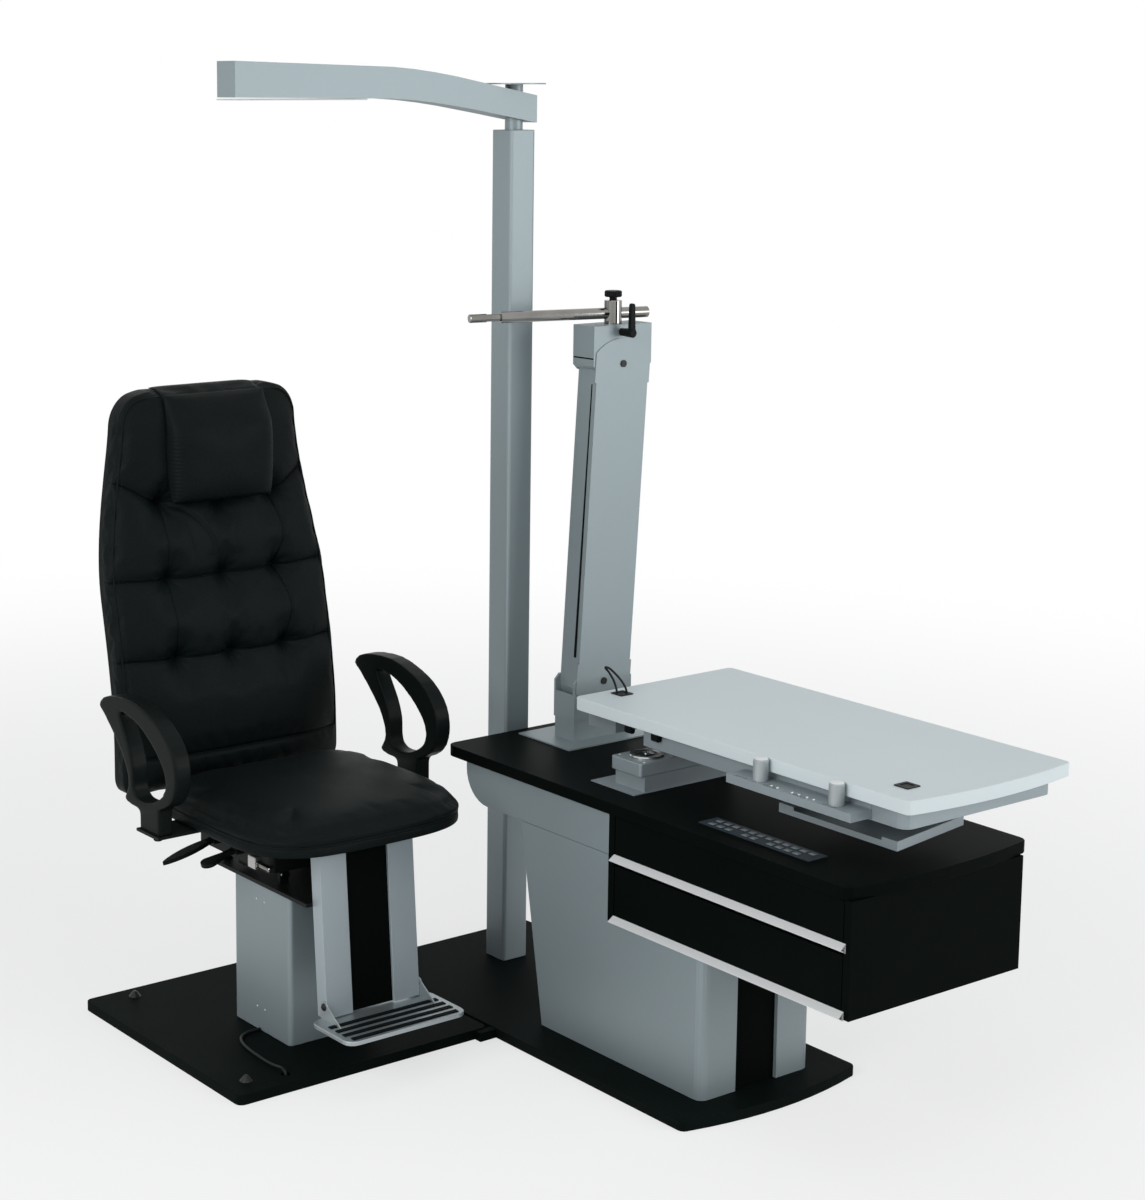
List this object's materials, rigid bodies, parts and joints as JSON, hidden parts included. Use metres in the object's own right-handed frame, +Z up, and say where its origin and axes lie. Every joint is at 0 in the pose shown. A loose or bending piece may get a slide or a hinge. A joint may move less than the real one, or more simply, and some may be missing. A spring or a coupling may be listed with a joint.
{
  "type": "refraction unit",
  "caption": "Ophthalmic refraction unit: patient chair on a lift column beside a drawer console with a tilting instrument arm, swinging table and overhead lamp.",
  "frame": {"origin": "on the floor, on the vertical axis of the chair's lift column", "axes": "+Z up; the chair faces -Y; the console stands on the +X side of the chair, with its long side along Y"},
  "size_m": [1.343, 1.7037, 2.0965],
  "materials": {
    "chair_base_plate": "textured anthracite paint",
    "console_base_plate": "textured anthracite paint",
    "levelling_screw_1": "zinc-plated",
    "levelling_screw_2": "zinc-plated",
    "chair_column_housing": "satin silver-grey paint",
    "floor_cable": "black cable jacket",
    "lamp_column": "satin silver-grey paint",
    "lamp_pivot_post": "zinc-plated",
    "pedestal_housing": "satin silver-grey paint",
    "pedestal_front_panel": "black satin paint",
    "desk_apron": "satin silver-grey paint",
    "desk_top": "black satin laminate",
    "cabinet_carcass": "black satin laminate",
    "keypad": "membrane film",
    "arm_post": "satin silver-grey paint",
    "table_bearing_base": "satin silver-grey paint",
    "lamp_arm_beam": "satin silver-grey paint",
    "lamp_panel": "white light panel",
    "upper_drawer_front": "black satin laminate",
    "upper_drawer_box": "coated board",
    "upper_drawer_handle": "satin",
    "lower_drawer_front": "black satin laminate",
    "lower_drawer_box": "coated board",
    "lower_drawer_handle": "satin",
    "arm_body": "satin silver-grey paint",
    "arm_cover": "satin silver-grey paint",
    "arm_pivot_pin_lower": "blackened",
    "arm_pivot_pin_upper": "blackened",
    "parallel_link": "zinc-plated",
    "arm_head": "satin silver-grey paint",
    "clamp_lever": "black moulded plastic",
    "rod_clamp_sleeve": "polished",
    "support_rod": "polished",
    "rod_knob": "black moulded plastic",
    "table_swing_arm": "satin silver-grey paint",
    "bearing_ring": "polished",
    "table_top": "white satin laminate",
    "table_frame": "satin silver-grey paint",
    "table_guide_1": "satin silver-grey paint",
    "table_guide_2": "satin silver-grey paint",
    "table_grommet_1": "black moulded plastic",
    "table_grommet_2": "black moulded plastic",
    "table_cable": "black cable jacket",
    "lift_inner_column": "satin silver-grey paint",
    "guide_plate": "black satin paint",
    "guide_rod_left": "polished",
    "guide_rod_right": "polished",
    "footrest_channels": "satin",
    "footrest_panel": "black satin paint",
    "foot_plate": "satin",
    "foot_plate_treads": "ribbed",
    "seat_frame": "black satin paint",
    "seat_cushion": "black smooth leather",
    "armrest_left": "black moulded plastic",
    "armrest_right": "black moulded plastic",
    "back_cushion": "black smooth leather",
    "headrest_pillow": "black smooth leather",
    "back_bracket": "black satin paint",
    "tilt_lever": "black moulded plastic",
    "slide_lever": "black moulded plastic"
  },
  "bodies": {
    "console": {"chair_base_plate": "chair_base_plate", "console_base_plate": "console_base_plate", "levelling_screw_1": "levelling_screw_1", "levelling_screw_2": "levelling_screw_2", "chair_column_housing": "chair_column_housing", "floor_cable": "floor_cable", "lamp_column": "lamp_column", "lamp_pivot_post": "lamp_pivot_post", "pedestal_housing": "pedestal_housing", "pedestal_front_panel": "pedestal_front_panel", "desk_apron": "desk_apron", "desk_top": "desk_top", "cabinet_carcass": "cabinet_carcass", "keypad": "keypad", "arm_post": "arm_post", "table_bearing_base": "table_bearing_base"},
    "lamp_arm": {"lamp_arm_beam": "lamp_arm_beam", "lamp_panel": "lamp_panel"},
    "upper_drawer": {"upper_drawer_front": "upper_drawer_front", "upper_drawer_box": "upper_drawer_box", "upper_drawer_handle": "upper_drawer_handle"},
    "lower_drawer": {"lower_drawer_front": "lower_drawer_front", "lower_drawer_box": "lower_drawer_box", "lower_drawer_handle": "lower_drawer_handle"},
    "instrument_arm": {"arm_body": "arm_body", "arm_cover": "arm_cover", "arm_pivot_pin_lower": "arm_pivot_pin_lower", "arm_pivot_pin_upper": "arm_pivot_pin_upper"},
    "arm_link": {"parallel_link": "parallel_link"},
    "head": {"arm_head": "arm_head"},
    "head_clamp": {"clamp_lever": "clamp_lever"},
    "sleeve": {"rod_clamp_sleeve": "rod_clamp_sleeve"},
    "rod": {"support_rod": "support_rod"},
    "knob": {"rod_knob": "rod_knob"},
    "table_swing": {"table_swing_arm": "table_swing_arm", "bearing_ring": "bearing_ring"},
    "table": {"table_top": "table_top", "table_frame": "table_frame", "table_guide_1": "table_guide_1", "table_guide_2": "table_guide_2", "table_grommet_1": "table_grommet_1", "table_grommet_2": "table_grommet_2", "table_cable": "table_cable"},
    "lift": {"lift_inner_column": "lift_inner_column", "guide_plate": "guide_plate", "guide_rod_left": "guide_rod_left", "guide_rod_right": "guide_rod_right", "footrest_channels": "footrest_channels", "footrest_panel": "footrest_panel"},
    "foot_plate": {"foot_plate": "foot_plate", "foot_plate_treads": "foot_plate_treads"},
    "seat": {"seat_frame": "seat_frame", "seat_cushion": "seat_cushion", "armrest_left": "armrest_left", "armrest_right": "armrest_right"},
    "backrest": {"back_cushion": "back_cushion", "headrest_pillow": "headrest_pillow", "back_bracket": "back_bracket"},
    "tilt_control": {"tilt_lever": "tilt_lever"},
    "slide_control": {"slide_lever": "slide_lever"}
  },
  "joints": [
    {"name": "lamp_arm_swing", "type": "hinge", "parent": "console", "child": "lamp_arm", "pos_m": [0.614, 0.062, 1.95], "axis": [0, 0, 1], "range_deg": [-90, 90]},
    {"name": "upper_drawer_slide", "type": "slide", "parent": "console", "child": "upper_drawer", "axis": [-1, 0, 0], "range_m": [0, 0.3]},
    {"name": "lower_drawer_slide", "type": "slide", "parent": "console", "child": "lower_drawer", "axis": [-1, 0, 0], "range_m": [0, 0.3]},
    {"name": "instrument_arm_tilt", "type": "hinge", "parent": "console", "child": "instrument_arm", "pos_m": [0.7205, -0.11235, 0.714], "axis": [0, -1, 0], "range_deg": [0, 20]},
    {"name": "arm_link_tilt", "type": "hinge", "parent": "console", "child": "arm_link", "pos_m": [0.6805, -0.11235, 0.714], "axis": [0, -1, 0], "range_deg": [0, 20]},
    {"name": "head_level", "type": "hinge", "parent": "instrument_arm", "child": "head", "pos_m": [0.76346, -0.11235, 1.43502], "axis": [0, -1, 0], "range_deg": [-20, 0]},
    {"name": "head_clamp_turn", "type": "hinge", "parent": "head", "child": "head_clamp", "pos_m": [0.75916, -0.16, 1.50602], "axis": [0, -1, 0], "range_deg": [-25, 25]},
    {"name": "sleeve_turn", "type": "hinge", "parent": "head", "child": "sleeve", "pos_m": [0.76346, -0.11235, 1.53502], "axis": [0, 0, 1], "range_deg": [-18, 45]},
    {"name": "rod_slide", "type": "slide", "parent": "sleeve", "child": "rod", "axis": [-0.9763, 0.2164, 0], "range_m": [-0.12, 0.06]},
    {"name": "rod_knob_turn", "type": "hinge", "parent": "sleeve", "child": "knob", "pos_m": [0.76346, -0.11235, 1.58502], "axis": [0, 0, 1], "continuous": true},
    {"name": "table_swing_turn", "type": "hinge", "parent": "console", "child": "table_swing", "pos_m": [0.547, -0.491, 0.63], "axis": [0, 0, 1], "range_deg": [-60, 0]},
    {"name": "table_slide", "type": "slide", "parent": "table_swing", "child": "table", "axis": [0, 1, 0], "range_m": [-0.3, 0.08]},
    {"name": "chair_lift", "type": "slide", "parent": "console", "child": "lift", "axis": [0, 0, 1], "range_m": [0, 0.2]},
    {"name": "foot_plate_fold", "type": "hinge", "parent": "lift", "child": "foot_plate", "pos_m": [0, -0.257, 0.162], "axis": [-1, 0, 0], "range_deg": [0, 80]},
    {"name": "seat_slide", "type": "slide", "parent": "lift", "child": "seat", "axis": [0, 1, 0], "range_m": [-0.095, 0.05]},
    {"name": "backrest_recline", "type": "hinge", "parent": "seat", "child": "backrest", "pos_m": [0, 0.205, 0.452], "axis": [-1, 0, 0], "range_deg": [0, 25]},
    {"name": "tilt_lever_lift", "type": "hinge", "parent": "seat", "child": "tilt_control", "pos_m": [-0.16, 0.11, 0.4366], "axis": [0, 1, 0], "range_deg": [0, 12]},
    {"name": "slide_lever_lift", "type": "hinge", "parent": "seat", "child": "slide_control", "pos_m": [-0.16, 0.02, 0.4366], "axis": [0, 1, 0], "range_deg": [0, 12]}
  ],
  "couplings": [
    {"joint": "head_level", "follows": "instrument_arm_tilt", "ratio": -1},
    {"joint": "arm_link_tilt", "follows": "instrument_arm_tilt", "ratio": 1}
  ]
}
